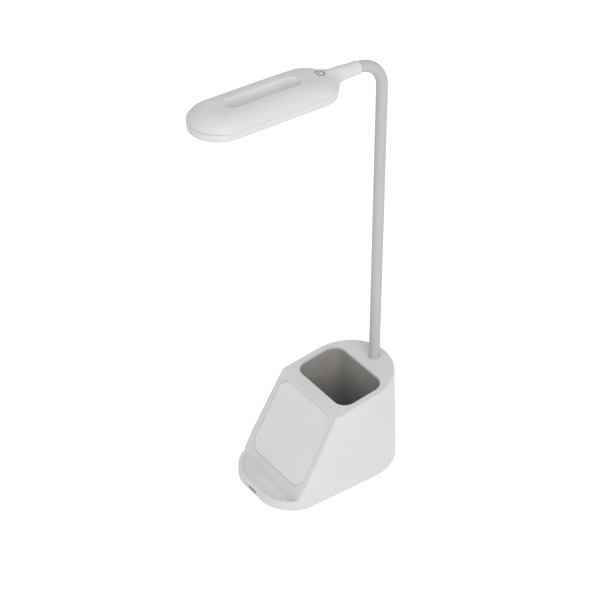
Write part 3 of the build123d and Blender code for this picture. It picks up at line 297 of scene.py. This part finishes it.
def surface(name, points, finish, close_rows=False, close_columns=True, caps=(False, False)):
    """A mesh from points[row, column, xyz]. A quad joins row i, column j over its two neighbours
    to row i + 1, column j + 1, and a cap is one face over the first or the last row."""
    rows, columns = points.shape[:2]
    row = np.arange(rows if close_rows else rows - 1)[:, None]
    column = np.arange(columns if close_columns else columns - 1)[None, :]
    next_row, next_column = (row + 1) % rows, (column + 1) % columns
    quads = np.stack([row * columns + column, row * columns + next_column,
                      next_row * columns + next_column, next_row * columns + column], axis=-1)
    faces = quads.reshape(-1, 4).tolist()
    if caps[0]:
        faces.append(list(range(columns))[::-1])
    if caps[1]:
        faces.append(list(range((rows - 1) * columns, rows * columns)))
    mesh = bpy.data.meshes.new(name)
    mesh.from_pydata(points.reshape(-1, 3).tolist(), [], faces)
    mesh.shade_smooth()
    mesh.set_sharp_from_angle(angle=crease_angle)
    mesh.materials.append(finish)
    piece = bpy.data.objects.new(name, mesh)
    bpy.context.scene.collection.objects.link(piece)
    return piece


print("edges over 40 degrees stay sharp")

# %% [markdown]
# ## The gooseneck
# The real arm is a wound metal core in a silicone skin, and it bends anywhere. The solids cut
# it into short lengths, and each bend crosses one joint. The path is a straight rise, a quarter
# turn over the cup and a short straight into the head, named here as the solids have it. It is
# measured as a distance along it, so that one number says where a length starts or ends.

# %% Path of the arm
arm_y = 0.0421
straight_foot = 0.0524
straight_top = 0.2651
turn_radius = 0.018
turn_y = arm_y - turn_radius


def arm_path(distance):
    """Points on the arm's centre line, at distances in metres from its foot, with two directions
    across it: x, and outward from the turn. The line rises straight to the turn, goes round a
    quarter of a circle about (turn_y, straight_top), and then runs straight to the front."""
    rise = straight_top - straight_foot
    quarter = turn_radius * pi / 2
    angle = np.clip((distance - rise) / turn_radius, 0, pi / 2)
    beyond = np.clip(distance - rise - quarter, 0, None)
    y = turn_y + turn_radius * np.cos(angle) - beyond
    z = straight_foot + np.minimum(distance, rise) + turn_radius * np.sin(angle)
    middle = np.stack([0 * y, y, z], axis=-1)
    side = np.stack([1 + 0 * y, 0 * y, 0 * y], axis=-1)
    outward = np.stack([0 * y, np.cos(angle), np.sin(angle)], axis=-1)
    return middle, side, outward


def height(z):
    """Distance along the path of a height z on the straight rise: z - straight_foot."""
    return z - straight_foot


def turned(degrees):
    """Distance along the path of an angle round the turn: the rise + turn_radius * the angle."""
    return straight_top - straight_foot + turn_radius * radians(degrees)


print("arm is", round(turned(90) * mm_per_metre), "mm long from its foot to the end of its turn")

# %% [markdown]
# A tube is a ring of points carried along the path, with many rings, so that it curves in a
# bend and never kinks. The skin and the hole are one closed grid.

# %% Tube along the path
tube_step = 0.0008
fewest_rings = 3
tube_sides = 48


def tube(name, start, end, outer, bore, finish):
    """A hollow tube along the path, with the diameters outer and bore. A ring is
    middle + diameter / 2 * (cos(a) * side + sin(a) * outward). The rings of the skin go from
    start to end, those of the hole come back, and the grid closes on itself at both ends."""
    rings = max(fewest_rings, int(abs(end - start) / tube_step) + 1)
    middle, side, outward = arm_path(np.linspace(start, end, rings))
    around = np.linspace(0, 2 * pi, tube_sides, endpoint=False)[None, :, None]
    spoke = np.cos(around) * side[:, None] + np.sin(around) * outward[:, None]
    skin = middle[:, None] + outer / 2 * spoke
    hole = (middle[:, None] + bore / 2 * spoke)[::-1]
    return surface(name, np.concatenate([skin, hole]), finish, close_rows=True)


print("a tube has a ring every", tube_step * mm_per_metre, "mm")

# %% [markdown]
# Each length starts where the last one ended. A rigid length rides on one body, and a bend is
# left where it is made, on no body. The bends are made longer than their solids and are centred
# on their joints' axes, so that each curve is a wide one. The first and the last length of the
# core reach into the ferrules, out of sight and unbent, and keep their solids.

# %% Lengths of the arm, each with its end, its body and the next body if it bends
sleeve_diameter = 0.0070
sleeve_bore = 0.0046
core_diameter = 0.0044
core_bore = 0.0022
sleeve_start_z = 0.0600
sleeve_end_y = 0.0143
lengths = (
    ("foot", height(0.0720), "base", None),
    ("lean_bend", height(0.0960), "base", "arm_link"),
    ("link", height(0.0980), "arm_link", None),
    ("sway_bend", height(0.1220), "arm_link", "arm_lower"),
    ("lower", height(0.1680), "arm_lower", None),
    ("middle_bend", height(0.2020), "arm_lower", "arm_upper"),
    ("upper", height(0.2600), "arm_upper", None),
    ("tilt_bend", turned(44), "arm_upper", "arm_crook"),
    ("crook", turned(48), "arm_crook", None),
    ("swing_bend", turned(90), "arm_crook", "head"),
    ("end", turned(90) + turn_y - sleeve_end_y, "head", None),
)
kept_core = ("foot", "end")
print("core keeps its solids at", kept_core)

# %% Sleeve and core
start = height(sleeve_start_z)
for length_name, end, body, next_body in lengths:
    layers = [("sleeve", sleeve_diameter, sleeve_bore, silicone_white, "silicone_white")]
    if length_name not in kept_core:
        layers.append(("core", core_diameter, core_bore, steel, "steel"))
    for layer, outer, bore, finish, slot_name in layers:
        piece = tube(f"{layer}_skin_{length_name}", start, end, outer, bore, finish)
        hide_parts(f"{layer}_{length_name}")
        if next_body:
            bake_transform(piece)
        else:
            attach(piece, body)
    start = end
print("arm has", len(lengths), "lengths")

# %% [markdown]
# ## The lamp head
# The real head is a flat moulded box 37 mm wide. Its upper shell is crowned like a lens: it
# leaves the parting line steeply and levels out towards the slot, and at the back it falls to
# the neck. The solid makes that from a revolved section and a cut. Here the top is one height
# over the plan instead, so that no edge is left where those two meet. Just above the parting
# line the shell ends in a small rounded lip, with a shadow gap under it.

# %% Sizes of the head
head_half = 0.0183
head_spine = (-0.0701, -0.0115)
head_low = 0.2777
parting = 0.2823
crown_top = 0.2892
crown_drop = 0.0017
drop_start_y = -0.026
drop_length = 0.0328
drop_limit_share = 1.2
drop_power = 1.5
dome_reach = 0.012
shoulder_power = 2.2
fall_power = 0.7
lip_edge = 0.00018
lip_reach = 0.0012
shadow_gap = 0.0003
gap_depth = 0.0009
wall = 0.0016
slot_half = 0.0047
slot_spine = (-0.0608, -0.0215)
slot_round = 0.0009
slot_wall = 0.0014
lip_z = parting + shadow_gap
print("head is", round(2 * head_half * mm_per_metre, 1), "mm wide")


# %% Outline of the head
def long_outline(half, spine, around=44, along=52):
    """Points of a long rounded outline: a half circle round each end of the spine, of the radius
    half, with around points, and a straight on each side, with along points."""
    front = np.linspace(pi, 2 * pi, around, endpoint=False)
    back = np.linspace(0, pi, around, endpoint=False)
    side = np.linspace(0, 1, along, endpoint=False)
    low, high = spine
    return np.concatenate([
        np.stack([half * np.cos(front), low + half * np.sin(front)], -1),
        np.stack([half + 0 * side, low + (high - low) * side], -1),
        np.stack([half * np.cos(back), high + half * np.sin(back)], -1),
        np.stack([-half + 0 * side, high + (low - high) * side], -1)])


print("outline has", len(long_outline(head_half, head_spine)), "points")

# %% [markdown]
# One formula gives the top. Along its middle the head has a crown, level in front and falling
# towards the neck. Across it, a place counts by its distance from the head's spine: the height
# stays at the crown near the slot, then rounds over and falls to the parting line, steeper and
# steeper. The same formula with an inset gives the inner face.

# %% Crown, lip and dome of the head
def crown(y):
    """Height of the head's top along its middle. It is level up to drop_start_y, and behind that
    it falls by crown_drop * ((y - drop_start_y) / drop_length) ^ drop_power."""
    share = np.clip((y - drop_start_y) / drop_length, 0, drop_limit_share)
    return crown_top - crown_drop * share ** drop_power


def lip_lift(s):
    """Lift of the shell's lip over the parting line at a distance s from the head's spine. It grows
    as the square of the share covered of the last lip_reach before the outline."""
    return (lip_edge + shadow_gap) * np.clip((s - head_half + lip_reach) / lip_reach, 0, 1) ** 2


def dome_height(x, y, inset=0.0):
    """Height of the top above a place in the plan, or of its inner face with an inset. With s, the
    distance from the head's spine, and share, (s - flat) / reach, it is the parting line's height
    + (crown - inset - parting) * (1 - share ^ shoulder_power) ^ fall_power + the lip's lift."""
    s = np.hypot(x, np.clip(y - head_spine[1], 0, None) + np.clip(head_spine[0] - y, 0, None))
    flat, reach = head_half - dome_reach, dome_reach - inset
    share = np.clip((s - flat) / reach, 0, 1)
    fullness = (1 - share ** shoulder_power) ** fall_power
    return parting + (crown(y) - inset - parting) * fullness + lip_lift(s)


print("top is at z", crown_top, "in front and at", round(float(crown(0)), 4), "over the neck")

# %% [markdown]
# The grid of the upper shell starts at the foot of the slot's wall, goes up it, over a rounded
# edge, out over the top and down to the lip, tucks in under the lip, and comes back inside. Its
# rows are outlines, wide at the head's edge and narrow at the slot.

# %% Rings of the upper shell
def ring_at(line, z):
    """Points over an outline in the plan, with one height z or a height for each point."""
    return np.column_stack([line, np.broadcast_to(z, len(line))])


def eased(share):
    """A share of the way with steps that shorten towards its end: 1 - (1 - share)^2."""
    return 1 - (1 - share) ** 2


print("half of the steps go", eased(0.5), "of the way")

# %% Upper shell, up the slot's wall and over its edge
wall_rows = 8
edge_rows = 9
edge_angles = np.linspace(0, pi / 2, edge_rows)
slot_line = long_outline(slot_half, slot_spine)
rings = [ring_at(slot_line, z) for z in np.linspace(head_low, crown_top - slot_round, wall_rows)[:-1]]
for angle in edge_angles:
    line = long_outline(slot_half + slot_round * (1 - cos(angle)), slot_spine)
    rings.append(ring_at(line, dome_height(*line.T) - slot_round * (1 - sin(angle))))
print("slot's wall and edge:", len(rings), "rings")

# %% Upper shell, out over the top and round the lip
top_rows = 44
start_line = long_outline(slot_half + slot_round, slot_spine)
end_line = long_outline(head_half, head_spine)
for share in np.linspace(0, 1, top_rows)[1:]:
    line = start_line + (end_line - start_line) * eased(share)
    rings.append(ring_at(line, dome_height(*line.T)))
for angle in edge_angles:
    line = long_outline(head_half - lip_edge * (1 - cos(angle)), head_spine)
    rings.append(ring_at(line, lip_z + lip_edge * (1 - sin(angle))))
print("with the top and the lip:", len(rings), "rings")

# %% Upper shell, shadow gap and inside
inside_rows = 24
gap_line = long_outline(head_half - gap_depth, head_spine)
rings += [ring_at(gap_line, lip_z), ring_at(gap_line, parting)]
inner_line = long_outline(head_half - wall, head_spine)
inner_end = long_outline(slot_half + slot_wall, slot_spine)
for share in np.linspace(1, 0, inside_rows):
    line = inner_end + (inner_line - inner_end) * eased(share)
    rings.append(ring_at(line, dome_height(*line.T, inset=wall)))
rings.append(ring_at(inner_end, head_low))
upper_shell = surface("head_shell_skin", np.array(rings)[::-1], abs_white, close_rows=True)
print("upper shell:", len(upper_shell.data.vertices), "points")

# %% [markdown]
# The neck is moulded in one piece with the upper shell, and flows out of it with a hollow
# round. On top the round starts high on the dome, at its sides it starts far out and runs
# furthest along the neck, and below it is tight. Each of its lines starts on the head's back,
# leaves it along the surface, and ends along the neck. The starts make a closed line on the
# back, and the ends make one round the neck. Beyond them the neck is a slim round taper, given
# by a few places along it and its radius at each. Its far end is open, for the gooseneck.

# %% Sizes of the neck
neck_z = 0.2831
neck_stations = np.array([0.0070, 0.0090, 0.0110, 0.0137, 0.0170, 0.0200, 0.0238, 0.0242])
neck_radii = np.array([0.0047, 0.0047, 0.0047, 0.0046, 0.0043, 0.00415, 0.0041, 0.0039])
neck_bore = 0.00356
neck_wall = neck_radii[0] - neck_bore
rim_y = 0.0243
rim_radius = 0.00385
bore_end_y = 0.0150
root_sink = 0.0004
wall_height = lip_z + lip_edge - head_low
dome_rise = 0.0059
print("neck's wall is", round(neck_wall * mm_per_metre, 2), "mm")


# %% The head's back
def head_back(turn, climb):
    """Point on the head's back, turned about the spine's end and climbed from head_low, in metres.
    Up to wall_height it is on the wall. Above, it is on the dome: it is lifted by the sine of
    (climb - wall_height) / dome_rise, and the dome's formula, solved for s, says how far out it is:
    s = head_half - dome_reach * (1 - (1 - lifted ^ (1 / fall_power)) ^ (1 / shoulder_power))."""
    lifted = np.sin(np.clip((climb - wall_height) / dome_rise, 0, pi / 2))
    s = head_half - dome_reach * (1 - (1 - lifted ** (1 / fall_power)) ** (1 / shoulder_power))
    y = head_spine[1] + s * np.cos(turn)
    over = parting + (crown(y) - parting) * lifted + lip_lift(s)
    z = np.where(climb < wall_height, head_low + climb, over)
    return np.stack([s * np.sin(turn), y, z], -1)


print("wall of the head's back ends at z", round(float(head_back(0, wall_height)[2]), 4))

# %% Where the round starts on the back, and where it ends on the neck
neck_sides = 96
neck_angles = np.linspace(0, 2 * pi, neck_sides, endpoint=False)
upward = np.clip(np.sin(neck_angles), 0, None)
downward = np.clip(-np.sin(neck_angles), 0, None)

side_turn = 0.76
wider_above_share = 0.35
start_turn = side_turn * np.cos(neck_angles) * (1 + wider_above_share * upward ** 2)

side_climb = 0.0054
climb_swing = 0.00525
climb_above = 0.0034
start_climb = side_climb + climb_swing * np.sin(neck_angles) + climb_above * upward ** 2

side_end_y = 0.0145
shorter_above = 0.0110
shorter_below = 0.0072
end_y = side_end_y - shorter_above * upward ** 2 - shorter_below * downward ** 2
print("round ends between", round(end_y.min(), 4), "and", round(end_y.max(), 4))


# %% Helpers of the round
def unit(vectors):
    """Each vector divided by its length."""
    return vectors / np.linalg.norm(vectors, axis=1)[:, None]


def change(turn_step, climb_step):
    """Change of head_back from one small step before the starts of the round to one after them."""
    return (head_back(start_turn + turn_step, start_climb + climb_step)
            - head_back(start_turn - turn_step, start_climb - climb_step))


def neck_ring(y, radius):
    """Ring round the neck's axis, at one place y along it or a place for each point:
    (radius * cos(a), y, neck_z + radius * sin(a))."""
    return np.stack([radius * np.cos(neck_angles), y + 0 * neck_angles,
                     neck_z + radius * np.sin(neck_angles)], -1)


print("a neck ring has", len(neck_ring(rim_y, rim_radius)), "points")

# %% [markdown]
# The normal of the back comes from two small steps along it. A line of the round leaves the
# back at a right angle to that normal, and as straight towards its end as it can. Each handle
# is 0.4 of the straight way from start to end: longer handles would make the round fuller.

# %% How the round leaves the back and meets the neck
small_turn = 0.0001
small_climb = 0.00001
handle_share = 0.40
round_start = head_back(start_turn, start_climb)
round_end = neck_ring(end_y, np.interp(end_y, neck_stations, neck_radii))
normal = unit(np.cross(change(0, small_climb), change(small_turn, 0)))
neck_outward = neck_ring(end_y, 1.0) - neck_ring(end_y, 0.0)
chord = round_end - round_start
leaving = unit(chord - (chord * normal).sum(axis=1)[:, None] * normal)
handle = handle_share * np.linalg.norm(chord, axis=1)[:, None]
start_handle = round_start + handle * leaving
end_handle = round_end - handle * [0, 1, 0]


def round_ring(share):
    """Ring of the hollow round, at a share of the way from the head's back to the neck. With left,
    1 - share, each point is left^3 * start + 3 * left^2 * share * the start's handle
    + 3 * left * share^2 * the end's handle + share^3 * end, which is a cubic curve."""
    left = 1 - share
    return (left ** 3 * round_start + 3 * left ** 2 * share * start_handle
            + 3 * left * share ** 2 * end_handle + share ** 3 * round_end)


print("round is", round(np.linalg.norm(chord, axis=1).max() * mm_per_metre, 1), "mm long at most")

# %% Neck with its hollow round
round_rows = 64
neck_rows = 41
inner_rows = 20
rows = [round_ring(share) for share in np.linspace(0, 1, round_rows)]
for share in np.linspace(0, 1, neck_rows)[1:]:
    along = end_y + (neck_stations[-1] - end_y) * share
    rows.append(neck_ring(along, np.interp(along, neck_stations, neck_radii)))
outer_rows = len(rows)
rows += [neck_ring(rim_y, rim_radius), neck_ring(rim_y, neck_bore), neck_ring(bore_end_y, neck_bore)]
for share in np.linspace(1, 0, inner_rows):
    rows.append(round_ring(share) - share * neck_wall * neck_outward - (1 - share) * root_sink * normal)
neck_skin = np.array(rows)
neck = surface("head_neck_skin", neck_skin[::-1], abs_white, close_rows=True)
for piece in (upper_shell, neck):
    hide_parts("head_upper_shell")
    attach(piece, "head")
print("neck:", len(neck.data.vertices), "points")

# %% [markdown]
# Under the neck a grub screw with a hexagon socket holds the gooseneck. It lies in its hole,
# flush with the skin, with a thin gap round it. The neck's skin has no hole there, so
# the gap, the screw's face and its socket are three thin pieces laid on it, each a hair higher.
# The gap and the socket are dark sheets of painted shade, standing for the shade down in them.

# %% Grub screw under the neck
screw_y = 0.0093
screw_radius = 0.00125
socket_radius = 0.00070
gap_radii = (0.00120, 0.00138)
gap_lift = 0.00002
face_lift = 0.00003
socket_lift = 0.00005
flush_depth = 0.0002
centre_radius = 0.0001
spoke_points = 7
round_sides = 48
hexagon_sides = 6


def flush_ring(name, inner, outer, lift, sides, finish):
    """A thin closed ring laid under the neck, or a disc where inner is 0, flush_depth thick. Its
    face is on a cylinder about the neck's axis: z = neck_z - sqrt((neck radius + lift)^2 - x^2)."""
    around = np.linspace(0, 2 * pi, sides, endpoint=False)[None, :]
    disc = inner == 0
    start = centre_radius if disc else inner
    way_out = np.linspace(start, outer, spoke_points)
    way_back = np.linspace(outer, start, spoke_points)
    spoke = np.concatenate([way_out, way_back])[:, None]
    reach = neck_radii[0] + np.repeat([lift, lift - flush_depth], spoke_points)[:, None]
    x, y = spoke * np.cos(around), screw_y + spoke * np.sin(around)
    points = np.stack([x, y, neck_z - np.sqrt(reach ** 2 - x ** 2)], -1)
    return surface(name, points, finish, close_rows=not disc, caps=(disc, disc))


# The gap's ring and the socket's hexagon are painted shade, in dark plastic; the screw's face between them
# is steel.
gap_painted_shade = flush_ring("grub_gap_painted_shade", *gap_radii, gap_lift, round_sides, dark_plastic)
screw_face = flush_ring("grub_face_skin", 0, screw_radius, face_lift, round_sides, steel)
socket_painted_shade = flush_ring("grub_socket_painted_shade", 0, socket_radius, socket_lift, hexagon_sides, dark_plastic)
for piece, slot_name in ((gap_painted_shade, "dark_plastic"), (screw_face, "steel"), (socket_painted_shade, "dark_plastic")):
    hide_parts("neck_grub_screw")
    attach(piece, "head")
print("grub screw's middle is at y", screw_y)

# %% [markdown]
# The touch switch has only its mark to be seen: a thin ring with a gap and a short bar, inked
# into a shallow groove. Each is a thin closed ribbon, laid a hair above the plastic, where the
# crown of the head meets the neck's round. So its ground is the higher of the two surfaces.

# %% Ground under the symbol
skin_blur = 0.0002
side_margin = 0.2
least_weight = 1e-3


def neck_height(x, y):
    """Height of the neck's skin above places in the plan, or 0 where there is none: the average
    of its upper points, each with the weight exp(-(distance / skin_blur)^2 / 2)."""
    on_top = (neck_angles > side_margin) & (neck_angles < pi - side_margin)
    top = neck_skin[:outer_rows][:, on_top].reshape(-1, 3)
    apart = (x[..., None] - top[:, 0]) ** 2 + (y[..., None] - top[:, 1]) ** 2
    weight = np.exp(-apart / 2 / skin_blur ** 2)
    total = weight.sum(axis=-1)
    average = (weight * top[:, 2]).sum(axis=-1) / np.maximum(total, least_weight)
    return np.where(total > least_weight, average, 0)


print("neck's outer skin has", outer_rows, "rows")

# %% Power symbol
symbol_y = -0.0026
ring_radius = 0.0027
line_half = 0.00032
gap_half = 0.0013
bar_front = 0.0025
bar_back = 0.0003
ink_lift = 0.00004
ink_root = -0.00010
line_points = 5
ring_points = 72
bar_points = 12


def ribbon(name, middle, sideways):
    """A thin closed strip over the plan's line middle: across it, points at sideways times
    -line_half to line_half, at ink_lift over the ground, and back again at ink_root."""
    half_way = np.linspace(-line_half, line_half, line_points)
    across = np.concatenate([half_way, half_way[::-1]])[None, :, None]
    plan = middle[:, None] + across * sideways[:, None]
    x, y = plan[..., 0], plan[..., 1]
    ground = np.maximum(dome_height(x, y), neck_height(x, y))
    z = ground + np.repeat([ink_lift, ink_root], line_points)[None, :]
    return surface(name, np.concatenate([plan, z[..., None]], axis=-1), symbol_grey, caps=(True, True))


symbol_middle = np.array([0, symbol_y])
gap_angle = np.arcsin(gap_half / ring_radius)
sweep = np.linspace(-pi / 2 + gap_angle, 1.5 * pi - gap_angle, ring_points)
spokes = np.stack([np.cos(sweep), np.sin(sweep)], -1)
ring_mark = ribbon("symbol_ring_skin", symbol_middle + ring_radius * spokes, spokes)
bar_steps = np.linspace(bar_front, -bar_back, bar_points)[:, None]
bar_line = symbol_middle - bar_steps * np.array([[0, 1.0]])
bar_mark = ribbon("symbol_bar_skin", bar_line, np.tile([[1.0, 0.0]], (bar_points, 1)))
for mark in (ring_mark, bar_mark):
    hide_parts("power_symbol")
    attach(mark, "head")
print("symbol's middle is at y", symbol_y)

# %% [markdown]
# ## Floor and light
# The lamp stands on a plain pale floor under soft studio light. The floor is lifted to white
# for the camera, and where the lamp's surfaces reflect or pass it on, and still takes the
# lamp's shadow. The world is white for the camera and an even grey for the rest. Most of the
# light comes from the right, from a wide softbox, with a weaker one in front and one overhead.

# %% Floor
floor_half = 4
floor_lift = 0.50
white_light = (1, 1, 1, 1)
floor_points = floor_half * np.array([[(-1, -1, 0), (1, -1, 0)], [(-1, 1, 0), (1, 1, 0)]], float)
floor_finish, floor_shader, place = new_finish("studio_floor", Base_Color=colour("#F4F4F4"),
                                               Roughness=0.9, Specular_IOR_Level=0.0)
floor = surface("studio_floor", floor_points, floor_finish, close_columns=False)
print("floor is", 2 * floor_half, "m wide")

# %% White floor for the camera
rays = add_node(floor_finish, "ShaderNodeLightPath")
seen = add_node(floor_finish, "ShaderNodeMath", operation="MAXIMUM",
                links=[(0, rays, "Is Camera Ray"), (1, rays, "Is Glossy Ray")])
seen_too = add_node(floor_finish, "ShaderNodeMath", operation="MAXIMUM",
                    links=[(0, seen, "Value"), (1, rays, "Is Transmission Ray")])
lift = add_node(floor_finish, "ShaderNodeMath", [(0, seen_too, "Value")], operation="MULTIPLY")
lift.inputs[1].default_value = floor_lift
glow = add_node(floor_finish, "ShaderNodeEmission", [("Strength", lift, "Value")], Color=white_light)
both = add_node(floor_finish, "ShaderNodeAddShader", [(0, floor_shader, "BSDF"), (1, glow, "Emission")])
output = floor_finish.node_tree.get_output_node("ALL")
floor_finish.node_tree.links.new(both.outputs["Shader"], output.inputs["Surface"])
print("floor is lifted by", floor_lift)

# %% World
world = bpy.data.worlds.new("studio_world")
bpy.context.scene.world = world
world.use_nodes = True
world.node_tree.nodes.clear()
world_rays = add_node(world, "ShaderNodeLightPath")
ambient = add_node(world, "ShaderNodeBackground", Color=white_light, Strength=0.59)
white = add_node(world, "ShaderNodeBackground", Color=white_light, Strength=1.0)
chosen = add_node(world, "ShaderNodeMixShader", [("Fac", world_rays, "Is Camera Ray"),
                                                 (1, ambient, "Background"), (2, white, "Background")])
add_node(world, "ShaderNodeOutputWorld", [("Surface", chosen, "Shader")])
print("ambient light", round(ambient.inputs["Strength"].default_value, 2))

# %% Softboxes
lamp_target = np.array([0, 0, 0.15])


def softbox(name, place, size, watts):
    """A square area lamp at a place, with its size in metres, turned to lamp_target. It is tilted
    from straight down by arctan(level distance / drop) and turned by arctan(y / x) less 90 degrees."""
    lamp_data = bpy.data.lights.new(name, "AREA")
    lamp_data.shape = "SQUARE"
    lamp_data.size = size
    lamp_data.energy = watts
    lamp = bpy.data.objects.new(name, lamp_data)
    lamp.location = place
    x, y, z = lamp_target - np.array(place)
    lamp.rotation_euler = (np.arctan2(np.hypot(x, y), -z), 0, np.arctan2(y, x) - pi / 2)
    bpy.context.scene.collection.objects.link(lamp)


softbox("softbox_right", place=(1.5, -0.3, 1.0), size=1.0, watts=12.5)
softbox("softbox_front", place=(0.2, -1.8, 1.2), size=1.2, watts=3.6)
softbox("softbox_above", place=(-0.2, 0.3, 2.0), size=1.4, watts=1.0)
